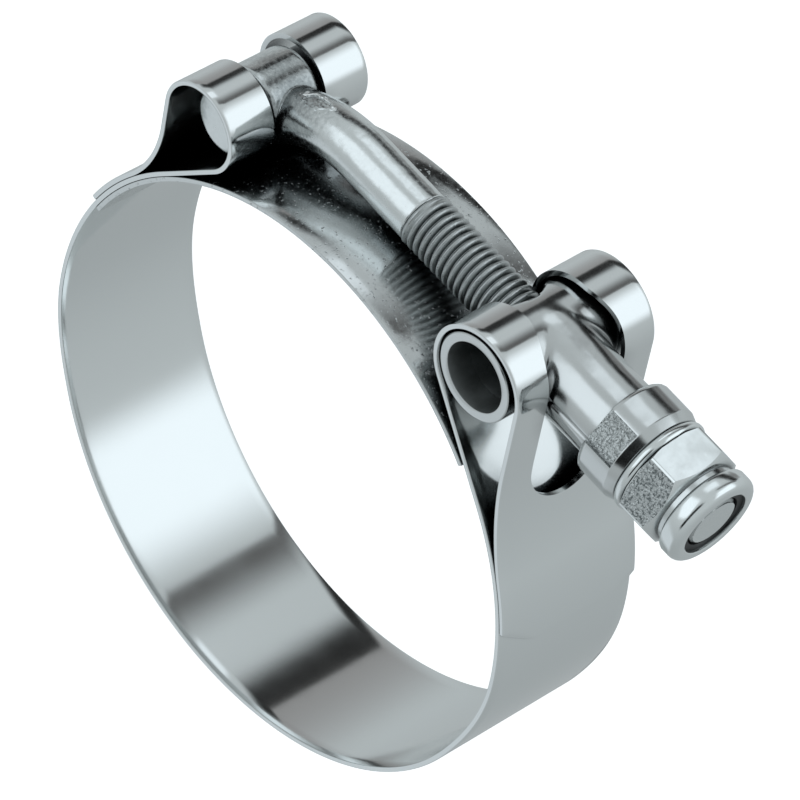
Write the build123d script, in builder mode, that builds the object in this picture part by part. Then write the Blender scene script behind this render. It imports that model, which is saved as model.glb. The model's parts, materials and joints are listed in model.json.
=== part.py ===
from build123d import *
import math
import os

os.makedirs("parts", exist_ok=True)

# T-bolt clamp, in mm. The origin is the centre of the ring, +Y runs along the ring's axis
# and +Z points from the centre to the bolt. The band is one strip: both ends are folded
# back into loops, and a tongue under the gap closes the circle that grips the hose.

# strip
band_width = 19.0
band_thickness = 0.6
seat_radius = 34.0

# where the band eases from the seat circle out over the tongue, in degrees from +X
ease_start_left = 205.0
ease_end_left = 180.0
ease_start_right = 335.0
ease_end_right = 360.0

# T-bolt, whose head sits in the left loop
head_x = -18.05
head_rise = 2.1
head_bar_radius = 3.85
head_bar_length = 13.2
head_edge = 0.3
hub_radius = 4.4
hub_shift_x = -0.1
hub_shift_z = 0.6
hub_width = 6.6
shank_shift_x = 0.85
shank_shift_z = -1.6
shank_radius = 3.05
thread_radius = 3.175
bolt_slope = 7.1
straight_length = 27.5
thread_start = 18.4
bolt_end = 26.55
thread_chamfer = 0.35

# trunnion in the right loop, with distances along the bolt from its cross tube's centre
trunnion_x = 23.75
trunnion_rise = 1.85
bolt_play = 0.42
tube_radius = 5.05
tube_wall = 1.15
tube_inset = 0.3
tube_edge = 0.25
sleeve_radius = 4.75
sleeve_blend = 2.0
mouth_play = 0.95
collar_start = 12.4
collar_end = 17.75
collar_radius = 6.0
collar_edge = 0.5
flat_width = 4.4
flat_angle = 144.0
flat_height = 4.85
flat_end = 16.55

# loops, each wider than what turns in it and pulled tight on one side
running_gap = 0.06
head_loop_play = 0.8
head_pull_angle = -29.0
trunnion_loop_play = 0.6
trunnion_pull_angle = 196.0

# outer legs, folded back down onto the band
head_leg_blend = 15.0
head_leg_angle = 159.0
trunnion_leg_blend = 40.0
trunnion_leg_angle = 7.2
near_clip_width = 4.6
near_clip_length = 2.9
far_clip_width = 2.2
far_clip_length = 1.5

# slots through the loops, with depths below the loop's centre
head_slot_play = 0.35
head_slot_depth = 4.3
head_slot_back_depth = 2.5
head_slot_corner = 2.2
bolt_slot_play = 0.95
bolt_slot_depth = 4.4
sleeve_slot_play = 0.55
sleeve_slot_depth = 15.7

# tongue
tongue_left_angle = 155.5
tongue_right_angle = 44.0

# lock nut and its ring insert
nut_gap = 0.08
washer_face_radius = 5.8
washer_face_height = 1.05
across_flats = 11.1
hex_height = 4.75
hex_corner_angle = 127.0
hex_face_radius = 5.4
neck_radius = 4.95
neck_length = 0.85
crown_radius = 5.55
crown_edge = 1.0
crown_beyond_bolt = 0.3
thread_clearance = 0.05
insert_radius = 4.5
insert_height = 1.6
insert_clearance = 0.03
lip_height = 0.45
lip_radius = 3.95

# radii of the strip's middle: round the bottom, over the tongue, and in the legs on top
bottom_radius = seat_radius + 0.5 * band_thickness
band_radius = seat_radius + 1.5 * band_thickness
leg_radius = seat_radius + 2.5 * band_thickness
half_width = band_width / 2
tube_length = band_width - 2 * tube_inset
half_thickness = band_thickness / 2


def on_circle(radius, angle, centre=(0.0, 0.0)):
    a = math.radians(angle)
    return (centre[0] + radius * math.cos(a), centre[1] + radius * math.sin(a))


def along(angle):
    """Direction of travel of the strip round the ring at this angle."""
    a = math.radians(angle)
    return (-math.sin(a), math.cos(a))


def leg_join(leg_x, blend):
    """Centre of the blend from an upright leg to the ring, and its angle from +X."""
    centre_x = leg_x + math.copysign(blend, leg_x)
    centre_z = math.sqrt((leg_radius + blend) ** 2 - centre_x**2)
    return (centre_x, centre_z), math.degrees(math.atan2(centre_z, centre_x))


def straight_run(centre, radius):
    """Angle on the ring where the strip leaves it in a straight line for a loop."""
    turn = math.degrees(math.acos((band_radius + radius) / math.hypot(*centre)))
    return math.degrees(math.atan2(centre[1], centre[0])) + math.copysign(turn, -centre[0])


# the head and the cross tube, and the loops round them
head = (head_x, seat_radius + head_rise)
cross = (trunnion_x, seat_radius + trunnion_rise)
head_loop = on_circle(running_gap - head_loop_play, head_pull_angle, head)
cross_loop = on_circle(running_gap - trunnion_loop_play, trunnion_pull_angle, cross)
head_loop_radius = head_bar_radius + head_loop_play + half_thickness
cross_loop_radius = tube_radius + trunnion_loop_play + half_thickness
head_leg_x = head_loop[0] - head_loop_radius
cross_leg_x = cross_loop[0] + cross_loop_radius
head_blend, head_join = leg_join(head_leg_x, head_leg_blend)
cross_blend, cross_join = leg_join(cross_leg_x, trunnion_leg_blend)
head_run = straight_run(head_loop, head_loop_radius)
cross_run = straight_run(cross_loop, cross_loop_radius)

# the bolt's line, and planes for what is turned about it or lies square to it
slope = math.radians(bolt_slope)
bolt_dir = Vector(math.cos(slope), 0, -math.sin(slope))
cross_point = Vector(cross[0], 0, cross[1])
bolt_axis = Axis(cross_point, bolt_dir)
turning = Plane(origin=cross_point, x_dir=bolt_dir, z_dir=(0, -1, 0))


def square_to_bolt(distance):
    return Plane(origin=cross_point + bolt_dir * distance, x_dir=(0, 1, 0), z_dir=bolt_dir)


def ease(side, start_radius, start, end_radius, end):
    """Two arcs that carry one face of the strip from one radius to another."""
    middle = on_circle((start_radius + end_radius) / 2 - side, (start + end) / 2)
    first = TangentArc(on_circle(start_radius - side, start), middle, tangent=along(start))
    TangentArc(middle, on_circle(end_radius - side, end), tangent=first % 1)


def head_leg_side(side):
    """One face of the left outer leg, from its tip up to the loop."""
    CenterArc((0, 0), leg_radius + side, head_leg_angle, head_join - head_leg_angle)
    CenterArc(head_blend, head_leg_blend - side, head_join - 180, 180 - head_join)
    Line((head_leg_x - side, head_blend[1]), (head_leg_x - side, head_loop[1]))


def cross_leg_side(side):
    """One face of the right outer leg, from the loop down to its tip."""
    Line((cross_leg_x + side, cross_loop[1]), (cross_leg_x + side, cross_blend[1]))
    CenterArc(cross_blend, trunnion_leg_blend - side, 180, cross_join)
    CenterArc((0, 0), leg_radius + side, cross_join, trunnion_leg_angle - cross_join)


def strip_side(side):
    """One face of the strip: left loop, round the ring's bottom, right loop."""
    CenterArc(head_loop, head_loop_radius + side, 180, head_run - 360)
    Line(
        on_circle(head_loop_radius + side, head_run + 180, head_loop),
        on_circle(band_radius - side, head_run),
    )
    CenterArc((0, 0), band_radius - side, head_run, ease_end_left - head_run)
    ease(side, band_radius, ease_end_left, bottom_radius, ease_start_left)
    CenterArc(
        (0, 0), bottom_radius - side, ease_start_left, ease_start_right - ease_start_left
    )
    ease(side, bottom_radius, ease_start_right, band_radius, ease_end_right)
    CenterArc((0, 0), band_radius - side, 0, cross_run)
    Line(
        on_circle(band_radius - side, cross_run),
        on_circle(cross_loop_radius + side, cross_run + 180, cross_loop),
    )
    CenterArc(
        cross_loop, cross_loop_radius + side, cross_run + 180, -(cross_run + 180)
    )


# main band: the outer legs first, so that their corners can be clipped on their own
with BuildPart() as main_band:
    with BuildSketch(Plane.XZ):
        with BuildLine():
            head_leg_side(half_thickness)
            head_leg_side(-half_thickness)
            Line(
                on_circle(leg_radius + half_thickness, head_leg_angle),
                on_circle(leg_radius - half_thickness, head_leg_angle),
            )
            Line(
                (head_leg_x - half_thickness, head_loop[1]),
                (head_leg_x + half_thickness, head_loop[1]),
            )
        make_face()
        with BuildLine():
            cross_leg_side(half_thickness)
            cross_leg_side(-half_thickness)
            Line(
                on_circle(leg_radius + half_thickness, trunnion_leg_angle),
                on_circle(leg_radius - half_thickness, trunnion_leg_angle),
            )
            Line(
                (cross_leg_x - half_thickness, cross_loop[1]),
                (cross_leg_x + half_thickness, cross_loop[1]),
            )
        make_face()
    extrude(amount=half_width, both=True)
    # clipped corners, cut along the radius at each tip
    clip_reach = 5 * band_thickness
    for tip, inward in ((head_leg_angle, -1), (trunnion_leg_angle, 1)):
        out = on_circle(1, tip)
        level = Plane(
            origin=(leg_radius * out[0], 0, leg_radius * out[1]),
            x_dir=(0, 1, 0),
            z_dir=(out[0], 0, out[1]),
        )
        with BuildSketch(level):
            with BuildLine():
                Polyline(
                    (-band_width, -inward),
                    (near_clip_width - half_width, -inward),
                    (near_clip_width - half_width, 0),
                    (-half_width, inward * near_clip_length),
                    (-band_width, inward * near_clip_length),
                    close=True,
                )
            make_face()
            with BuildLine():
                Polyline(
                    (band_width, -inward),
                    (half_width - far_clip_width, -inward),
                    (half_width - far_clip_width, 0),
                    (half_width, inward * far_clip_length),
                    (band_width, inward * far_clip_length),
                    close=True,
                )
            make_face()
        extrude(amount=clip_reach, both=True, mode=Mode.SUBTRACT)
    # the rest of the strip
    with BuildSketch(Plane.XZ):
        with BuildLine():
            strip_side(half_thickness)
            strip_side(-half_thickness)
            Line(
                (head_leg_x - half_thickness, head_loop[1]),
                (head_leg_x + half_thickness, head_loop[1]),
            )
            Line(
                (cross_leg_x - half_thickness, cross_loop[1]),
                (cross_leg_x + half_thickness, cross_loop[1]),
            )
        make_face()
    extrude(amount=half_width, both=True)

    # slot for the T-bolt: over the top of its loop, then down both sides
    half_slot = hub_width / 2 + head_slot_play
    with BuildSketch(Plane.XY.offset(head_loop[1])):
        with Locations((head_loop[0], 0)):
            Rectangle(4 * head_loop_radius, 2 * half_slot)
    extrude(amount=2 * head_loop_radius, mode=Mode.SUBTRACT)
    for depth, reach in (
        (head_slot_depth, 2 * head_loop_radius),
        (head_slot_back_depth, -2 * head_loop_radius),
    ):
        with BuildSketch(Plane.YZ.offset(head_loop[0])):
            with Locations((0, head_loop[1])):
                Rectangle(2 * half_slot, 2 * depth)
            fillet(vertices(), head_slot_corner)
            with Locations((0, head_loop[1])):
                Rectangle(2 * half_slot, 2 * depth, align=(Align.CENTER, Align.MIN))
        extrude(amount=reach, mode=Mode.SUBTRACT)
    # slot for the bolt and the sleeve, which widens over the top of the loop
    narrow = shank_radius + bolt_slot_play
    wide = sleeve_radius + sleeve_slot_play
    clear_x = cross_leg_x - half_thickness - running_gap
    outer_x = clear_x + cross_loop_radius
    with BuildSketch(Plane.XY.offset(cross_loop[1])):
        with BuildLine():
            Line((cross_loop[0] - 2 * cross_loop_radius, narrow), (cross_loop[0], narrow))
            Spline((cross_loop[0], narrow), (clear_x, wide), tangents=((1, 0), (1, 0)))
            Line((clear_x, wide), (outer_x, wide))
            mirror(about=Plane.XZ)
            Line((outer_x, wide), (outer_x, -wide))
            Line(
                (cross_loop[0] - 2 * cross_loop_radius, narrow),
                (cross_loop[0] - 2 * cross_loop_radius, -narrow),
            )
        make_face()
    extrude(amount=2 * cross_loop_radius, mode=Mode.SUBTRACT)
    with BuildSketch(Plane.YZ.offset(cross_loop[0])):
        with Locations((0, cross_loop[1] - bolt_slot_depth + narrow)):
            Circle(narrow)
        with Locations((0, cross_loop[1])):
            Rectangle(2 * narrow, bolt_slot_depth - narrow, align=(Align.CENTER, Align.MAX))
    extrude(amount=-2 * cross_loop_radius, mode=Mode.SUBTRACT)
    with BuildSketch(Plane.YZ.offset(clear_x)):
        with Locations((0, cross_loop[1] - sleeve_slot_depth + wide)):
            Circle(wide)
        with Locations((0, cross_loop[1])):
            Rectangle(2 * wide, sleeve_slot_depth - wide, align=(Align.CENTER, Align.MAX))
    extrude(amount=cross_loop_radius, mode=Mode.SUBTRACT)

main_band.part.label = "main_band"
export_step(main_band.part, "parts/main_band.step")

# tongue: a strip on the seat circle that carries the hose across the gap between the loops
with BuildPart() as tongue:
    with BuildSketch(Plane.XZ):
        with BuildLine():
            span = tongue_right_angle - tongue_left_angle
            CenterArc((0, 0), seat_radius + band_thickness, tongue_left_angle, span)
            CenterArc((0, 0), seat_radius, tongue_left_angle, span)
            for end in (tongue_left_angle, tongue_right_angle):
                Line(
                    on_circle(seat_radius, end), on_circle(seat_radius + band_thickness, end)
                )
        make_face()
    extrude(amount=half_width, both=True)

tongue.part.label = "tongue"
export_step(tongue.part, "parts/tongue.step")

# T-bolt: cross head with a round hub, a shank bent up out of the loop, and a straight thread
straight_start = cross_point - bolt_dir * straight_length
shank_foot = Vector(head[0] + shank_shift_x, 0, head[1] + shank_shift_z)
to_foot = shank_foot - straight_start
down = Vector(-math.sin(slope), 0, -math.cos(slope))
bend_radius = to_foot.length**2 / (2 * to_foot.dot(down))
bend_centre = straight_start + down * bend_radius
bend_middle = (straight_start + shank_foot) / 2 - bend_centre
bend_middle = bend_centre + bend_middle.normalized() * bend_radius
with BuildPart() as t_bolt:
    with BuildLine():
        bend = ThreePointArc(shank_foot, bend_middle, straight_start)
    with BuildSketch(Plane(origin=bend @ 0, x_dir=(0, 1, 0), z_dir=bend % 0)):
        Circle(shank_radius)
    sweep(path=bend)
    with BuildSketch(square_to_bolt(-straight_length)):
        Circle(shank_radius)
    extrude(amount=straight_length - thread_start)
    with BuildSketch(Plane.XZ):
        with Locations(head):
            Circle(head_bar_radius)
    extrude(amount=head_bar_length / 2, both=True)
    chamfer(t_bolt.edges().filter_by(GeomType.CIRCLE).group_by(Axis.Y)[0], head_edge)
    chamfer(t_bolt.edges().filter_by(GeomType.CIRCLE).group_by(Axis.Y)[-1], head_edge)
    with BuildSketch(Plane.XZ):
        with Locations((head[0] + hub_shift_x, head[1] + hub_shift_z)):
            Circle(hub_radius)
    extrude(amount=hub_width / 2, both=True)
    with BuildSketch(turning):
        with BuildLine():
            Polyline(
                (-thread_start, 0),
                (-thread_start, shank_radius),
                (-thread_start + thread_chamfer, thread_radius),
                (bolt_end - thread_chamfer, thread_radius),
                (bolt_end, thread_radius - thread_chamfer),
                (bolt_end, 0),
                close=True,
            )
        make_face()
    revolve(axis=bolt_axis)

t_bolt.part.label = "t_bolt"
export_step(t_bolt.part, "parts/t_bolt.step")

# trunnion: a cross tube that turns in the loop, and a sleeve with a collar for the nut
tube_bore_radius = tube_radius - tube_wall
sleeve_bore_radius = thread_radius + bolt_play
with BuildPart() as trunnion:
    with BuildSketch(Plane.XZ):
        with Locations(cross):
            Circle(tube_radius)
    extrude(amount=tube_length / 2, both=True)
    with BuildSketch(square_to_bolt(0)):
        Circle(sleeve_radius)
    extrude(amount=collar_start)
    fillet(
        [e for e in trunnion.edges() if e.geom_type not in (GeomType.LINE, GeomType.CIRCLE)],
        sleeve_blend,
    )
    chamfer(trunnion.edges().filter_by(GeomType.CIRCLE).group_by(Axis.Y)[0], tube_edge)
    chamfer(trunnion.edges().filter_by(GeomType.CIRCLE).group_by(Axis.Y)[-1], tube_edge)
    with BuildSketch(turning):
        with BuildLine():
            Polyline(
                (collar_start + collar_edge, collar_radius),
                (collar_end - collar_edge / 2, collar_radius),
                (collar_end, collar_radius - collar_edge / 2),
                (collar_end, 0),
                (collar_start, 0),
                (collar_start, collar_radius - collar_edge),
                close=True,
            )
        make_face()
    revolve(axis=bolt_axis)
    # flat milled in the collar
    facing = math.radians(flat_angle)
    away = Vector(0, math.cos(facing), 0) + turning.y_dir * math.sin(facing)
    with BuildSketch(
        Plane(origin=cross_point + away * flat_height, x_dir=bolt_dir, z_dir=away)
    ):
        with Locations((flat_end, 0)):
            Rectangle(
                flat_end - collar_start + collar_edge / 2,
                flat_width,
                align=(Align.MAX, Align.CENTER),
            )
    extrude(amount=collar_radius, mode=Mode.SUBTRACT)
    # bores for the cross tube and the bolt, wider where the bolt enters
    with BuildSketch(Plane.XZ):
        with Locations(cross):
            Circle(tube_bore_radius)
    extrude(amount=tube_length / 2, both=True, mode=Mode.SUBTRACT)
    with BuildSketch(square_to_bolt(0)):
        Circle(sleeve_bore_radius)
    extrude(amount=collar_end, mode=Mode.SUBTRACT)
    with BuildSketch(square_to_bolt(0)):
        Circle(thread_radius + mouth_play)
    extrude(amount=-2 * tube_radius, mode=Mode.SUBTRACT)

trunnion.part.label = "trunnion"
export_step(trunnion.part, "parts/trunnion.step")

# lock nut: washer face, hex, neck, and a rounded crown with a groove for the insert
nut_start = collar_end + nut_gap
hex_start = nut_start + washer_face_height
hex_end = hex_start + hex_height
crown_start = hex_end + neck_length
crown_end = bolt_end + crown_beyond_bolt
groove_end = crown_end - lip_height
groove_start = groove_end - insert_height - insert_clearance
face_slope = math.tan(math.radians(30))
clear_radius = 0.6 * across_flats
hex_rise = (clear_radius - hex_face_radius) * face_slope
nut_bore_radius = thread_radius + thread_clearance
with BuildPart() as lock_nut:
    with BuildSketch(square_to_bolt(hex_start)):
        RegularPolygon(
            across_flats / 2, 6, major_radius=False, rotation=hex_corner_angle
        )
    extrude(amount=hex_height)
    with BuildSketch(turning):
        with BuildLine():
            Polyline(
                (hex_start, 0),
                (hex_start, hex_face_radius),
                (hex_start + hex_rise, clear_radius),
                (hex_end - hex_rise, clear_radius),
                (hex_end, hex_face_radius),
                (hex_end, 0),
                close=True,
            )
        make_face()
    revolve(axis=bolt_axis, mode=Mode.INTERSECT)
    with BuildSketch(turning):
        with BuildLine():
            Polyline(
                (nut_start, 0),
                (nut_start, washer_face_radius),
                (hex_start, washer_face_radius),
                (hex_start, neck_radius),
                (crown_start, neck_radius),
                (crown_start, crown_radius),
                (crown_end - crown_edge, crown_radius),
                on_circle(crown_edge, 45, (crown_end - crown_edge, crown_radius - crown_edge)),
                (crown_end, crown_radius - crown_edge),
                (crown_end, 0),
                close=True,
            )
        make_face()
    revolve(axis=bolt_axis)
    with BuildSketch(turning):
        with BuildLine():
            Polyline(
                (nut_start - lip_height, 0),
                (nut_start - lip_height, nut_bore_radius),
                (groove_start, nut_bore_radius),
                (groove_start, insert_radius + insert_clearance),
                (groove_end, insert_radius + insert_clearance),
                (groove_end, lip_radius),
                (crown_end + lip_height, lip_radius),
                (crown_end + lip_height, 0),
                close=True,
            )
        make_face()
    revolve(axis=bolt_axis, mode=Mode.SUBTRACT)

lock_nut.part.label = "lock_nut"
export_step(lock_nut.part, "parts/lock_nut.step")

# ring insert that grips the thread, caught under the lip of the crown
with BuildPart() as nut_insert:
    with BuildSketch(square_to_bolt(groove_start + insert_clearance / 2)):
        Circle(insert_radius)
        Circle(nut_bore_radius, mode=Mode.SUBTRACT)
    extrude(amount=insert_height)

nut_insert.part.label = "nut_insert"
export_step(nut_insert.part, "parts/nut_insert.step")
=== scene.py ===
import json
import math

import bpy
from mathutils import Matrix, Vector, noise


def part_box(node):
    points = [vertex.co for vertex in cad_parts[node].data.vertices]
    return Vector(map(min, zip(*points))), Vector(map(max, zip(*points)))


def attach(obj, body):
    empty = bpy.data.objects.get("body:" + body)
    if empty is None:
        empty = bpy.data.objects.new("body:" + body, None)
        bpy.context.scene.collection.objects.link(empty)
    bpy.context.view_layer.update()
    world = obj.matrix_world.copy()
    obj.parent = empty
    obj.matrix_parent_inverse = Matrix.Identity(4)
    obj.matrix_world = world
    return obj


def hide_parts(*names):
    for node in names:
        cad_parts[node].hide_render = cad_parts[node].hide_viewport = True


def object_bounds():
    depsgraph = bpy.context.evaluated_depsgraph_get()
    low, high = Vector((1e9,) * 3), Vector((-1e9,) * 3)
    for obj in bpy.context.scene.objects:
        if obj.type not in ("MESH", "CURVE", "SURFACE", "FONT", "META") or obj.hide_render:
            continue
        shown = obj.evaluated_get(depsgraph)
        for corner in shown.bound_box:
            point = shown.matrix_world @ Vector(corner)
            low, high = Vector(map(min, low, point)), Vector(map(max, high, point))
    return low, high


# T-bolt clamp: a looped strip closed by a bolt, a trunnion and a lock nut. Lengths are in
# metres, and the ring's centre is the origin. The driving places come from the CAD frame.
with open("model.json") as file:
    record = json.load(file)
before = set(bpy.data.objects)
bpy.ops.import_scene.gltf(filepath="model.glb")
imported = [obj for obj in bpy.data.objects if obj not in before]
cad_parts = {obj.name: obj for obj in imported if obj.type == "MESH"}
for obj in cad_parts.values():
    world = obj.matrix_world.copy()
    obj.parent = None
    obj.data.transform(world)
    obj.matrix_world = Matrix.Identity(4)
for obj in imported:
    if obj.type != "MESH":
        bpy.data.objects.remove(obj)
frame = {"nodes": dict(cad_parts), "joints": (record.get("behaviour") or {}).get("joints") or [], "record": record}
cad_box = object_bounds()

# Camera: a long lens from above on the right, as for a catalogue picture. Its place and turn
# are fitted to the photograph.
camera = bpy.data.objects.new("camera", bpy.data.cameras.new("camera"))
bpy.context.scene.collection.objects.link(camera)
camera.location = (0.289175, -0.340253, 0.459448)
camera.rotation_euler = [math.radians(turn) for turn in (44.0835, -8.2552, 48.0678)]
camera.data.lens = 270
camera.data.sensor_width = 36
camera.data.clip_end = 20
bpy.context.scene.camera = camera
bpy.context.scene.view_settings.view_transform = "Standard"

# Studio: a pale paper sweep below the clamp, a light grey tent, soft boxes, and the narrow
# dark gaps between the tent's panels. The panels show only in the metal, not to the camera.
mm = 0.001
floor_size = 12
floor_height = cad_box[0][2] - 60 * mm


def rgb(code):
    """Linear colour of an sRGB hex code, opaque."""
    parts = [int(code[place : place + 2], 16) / 255 for place in (0, 2, 4)]
    return [c / 12.92 if c <= 0.04045 else ((c + 0.055) / 1.055) ** 2.4 for c in parts] + [1.0]


def add(tree, kind, inputs=(), **settings):
    """Adds a shader node with its settings, and sets or links its inputs."""
    node = tree.nodes.new(kind)
    for name, value in settings.items():
        setattr(node, name, value)
    for name, value in dict(inputs).items():
        if isinstance(value, bpy.types.NodeSocket):
            tree.links.new(value, node.inputs[name])
        else:
            node.inputs[name].default_value = value
    return node


def new_material(name):
    """A material with an empty tree, and its output node."""
    material = bpy.data.materials.new(name)
    material.use_nodes = True
    material.node_tree.nodes.clear()
    return material, material.node_tree, add(material.node_tree, "ShaderNodeOutputMaterial")


# the tent's grey cloth, a little darker low down
tent = bpy.context.scene.world or bpy.data.worlds.new("tent")
bpy.context.scene.world = tent
tent.use_nodes = True
tent.node_tree.nodes.clear()
tent_place = add(tent.node_tree, "ShaderNodeTexCoord")
tent_height = add(tent.node_tree, "ShaderNodeSeparateXYZ", {0: tent_place.outputs["Generated"]})
tent_level = add(
    tent.node_tree,
    "ShaderNodeMapRange",
    {
        "Value": tent_height.outputs["Z"],
        "From Min": -1.0,
        "From Max": 0.1,
        "To Min": 0.63,
        "To Max": 0.9,
    },
)
tent_light = add(
    tent.node_tree,
    "ShaderNodeBackground",
    {"Color": rgb("ced5d7"), "Strength": tent_level.outputs[0]},
)
add(tent.node_tree, "ShaderNodeOutputWorld", {"Surface": tent_light.outputs[0]})

bpy.ops.mesh.primitive_plane_add(size=floor_size, location=(0, 0, floor_height))
floor = bpy.context.object
floor.name = "floor"
# White paper, matt and lit from behind: it comes out as an even white, with no shadow.
paper, tree, out = new_material("white_paper_sweep")
paper_white = add(tree, "ShaderNodeBsdfDiffuse", {"Color": rgb("f2f2f2")})
paper_glow = add(tree, "ShaderNodeEmission", {"Color": rgb("ffffff"), "Strength": 0.55})
paper_sum = add(
    tree, "ShaderNodeAddShader", {0: paper_white.outputs[0], 1: paper_glow.outputs[0]}
)
tree.links.new(paper_sum.outputs[0], out.inputs["Surface"])
floor.data.materials.append(paper)
floor.visible_glossy = False


def panel(name, turn, lean, width, height, level, edges, roll=0.0, tint="f1faff"):
    """A soft-edged panel a metre away that faces the clamp: level 0 is black cloth.

    turn, lean, width, height and roll are in degrees, as seen from the clamp. edges are the
    shares of each half over which the panel fades at its four sides.
    """
    turn = math.radians(turn)
    lean = math.radians(lean)
    bpy.ops.mesh.primitive_plane_add(size=2)
    board = bpy.context.object
    board.name = name
    board.location = (
        math.cos(lean) * math.cos(turn),
        math.sin(lean),
        math.cos(lean) * math.sin(turn),
    )
    aside = Vector((-math.sin(turn), 0, math.cos(turn)))
    outward = Vector(board.location)
    faced = Matrix((aside, outward.cross(aside), outward)).transposed()
    board.rotation_euler = faced.to_euler()
    board.rotation_euler.rotate_axis("Z", math.radians(roll))
    board.scale = (math.tan(math.radians(width / 2)), math.tan(math.radians(height / 2)), 1)
    cloth, tree, out = new_material(name)
    place = add(tree, "ShaderNodeTexCoord")
    sides = add(tree, "ShaderNodeSeparateXYZ", {0: place.outputs["Object"]})
    shape = 1.0
    for axis, end, edge in zip("XXYY", (-1, 1, -1, 1), edges):
        fade = add(
            tree,
            "ShaderNodeMapRange",
            {"Value": sides.outputs[axis], "From Min": end, "From Max": end * (1 - edge)},
            interpolation_type="SMOOTHSTEP",
        )
        shape = add(
            tree, "ShaderNodeMath", {0: shape, 1: fade.outputs[0]}, operation="MULTIPLY"
        ).outputs[0]
    clear = add(tree, "ShaderNodeBsdfTransparent")
    glow = add(tree, "ShaderNodeEmission", {"Color": rgb(tint), "Strength": level})
    mix = add(tree, "ShaderNodeMixShader", {0: shape, 1: clear.outputs[0], 2: glow.outputs[0]})
    tree.links.new(mix.outputs[0], out.inputs["Surface"])
    board.data.materials.append(cloth)
    board.visible_camera = False
    board.visible_shadow = False
    board.visible_diffuse = level > 0


# White cloth, slightly cool: the bright bands in the ring, the loops and the sleeve.
panel("soft_box_right", 39, 32, 62, 50, 1.25, (0.57, 0.7, 0.4, 0.4))
panel("soft_box_front", 114, -48, 46, 56, 1.18, (0.4, 0.4, 0.35, 0.4))
panel("soft_box_above", 105, 12, 20, 38, 1.08, (0.4, 0.4, 0.5, 0.4))
panel("low_bounce_front", -122, -36, 70, 60, 0.74, (0.6, 0.6, 0.6, 0.6))
# Dark cloth: the streaks along the loops, the sleeve and the collar.
panel("dark_gap_top", 88, 40, 21, 58, 0.1, (0.12, 1.75, 0.3, 0.3), tint="ffffff")
panel("dark_gap_back", 123, 45, 25, 66, 0.02, (0.75, 0.5, 0.3, 0.3), roll=-28, tint="ffffff")
panel("dark_gap_high", 139, 68, 24, 26, 0.2, (0.8, 0.8, 0.8, 0.8), tint="ffffff")
panel("grey_gap_back", 160, 36, 42, 50, 0.33, (0.1, 1.8, 0.5, 0.5), roll=-22, tint="ffffff")
# Opening for the lens: the dark patch low in the ring.
panel("lens_opening", 45, -55, 30, 76, 0.0, (0.6, 0.6, 0.3, 0.3), roll=28, tint="ffffff")

# Main band: one strip of stainless sheet, sheared from the coil, rolled round and polished.
# Both ends are folded back into a loop, slotted for the bolt, and spot-welded down on the
# band. Angles are in degrees from +X, and the strip is drawn as the line of its middle.
joints = {joint["name"]: joint for joint in frame["joints"]}
head = Vector(joints["t_bolt_swing"]["pos_m"])
cross = Vector(joints["trunnion_swing"]["pos_m"])
seat_radius = frame["record"]["mounts"][0]["dims"]["r_mm"] * mm
strip_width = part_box("tongue")[1].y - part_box("tongue")[0].y
strip_thickness = 0.6 * mm
half_thickness = strip_thickness / 2
sheared_rounding = 0.14 * mm
ring_centre = Vector((0.0, 0.0))
bottom_radius = seat_radius + 0.5 * strip_thickness
band_radius = seat_radius + 1.5 * strip_thickness
leg_radius = seat_radius + 2.5 * strip_thickness
head_bar_radius = 3.85 * mm
tube_radius = 5.05 * mm
running_gap = 0.06 * mm
head_loop_play = 0.8 * mm
cross_loop_play = 0.6 * mm
head_loop_radius = head_bar_radius + head_loop_play + half_thickness
cross_loop_radius = tube_radius + cross_loop_play + half_thickness
# the ways in which the bolt pulls its head and the trunnion in their loops
head_pull = -29
cross_pull = 196
# each leg's bend on to the ring, and the angle at which its tip ends
head_leg_blend = 15 * mm
head_leg_angle = 159
cross_leg_blend = 40 * mm
cross_leg_angle = 7.2
# between these the band lies on the hose, and above them it eases out over the tongue
ease_left = 205
ease_right = 335
row_pitch = 0.25 * mm


def on_circle(radius, degrees, centre=(0.0, 0.0)):
    """A point on a circle in the plane of the ring, as (x, height)."""
    angle = math.radians(degrees)
    return Vector((centre[0] + radius * math.cos(angle), centre[1] + radius * math.sin(angle)))


def leg_join(leg_x, blend):
    """Centre of the bend from an upright leg to the ring, and its angle from +X."""
    x = leg_x + math.copysign(blend, leg_x)
    z = math.sqrt((leg_radius + blend) ** 2 - x**2)
    return Vector((x, z)), math.degrees(math.atan2(z, x))


def straight_run(centre, radius):
    """Angle on the ring where the strip leaves it in a straight line for a loop."""
    turn = math.degrees(math.acos((band_radius + radius) / centre.length))
    return math.degrees(math.atan2(centre[1], centre[0])) + math.copysign(turn, -centre[0])


def bend(centre, radius, start, end, end_radius=None):
    """Points of the strip's middle along one bend, a quarter of a millimetre apart."""
    end_radius = radius if end_radius is None else end_radius
    count = max(2, round(abs(math.radians(end - start)) * radius / row_pitch))
    points = []
    for step in range(count + 1):
        share = step / count
        eased = share * share * (3 - 2 * share)
        here = radius + (end_radius - radius) * eased
        points.append(on_circle(here, start + (end - start) * share, centre))
    return points


def straight(start, end):
    """Points of the strip's middle along one straight run."""
    count = max(2, round((end - start).length / row_pitch))
    return [start.lerp(end, step / count) for step in range(count + 1)]


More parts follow.
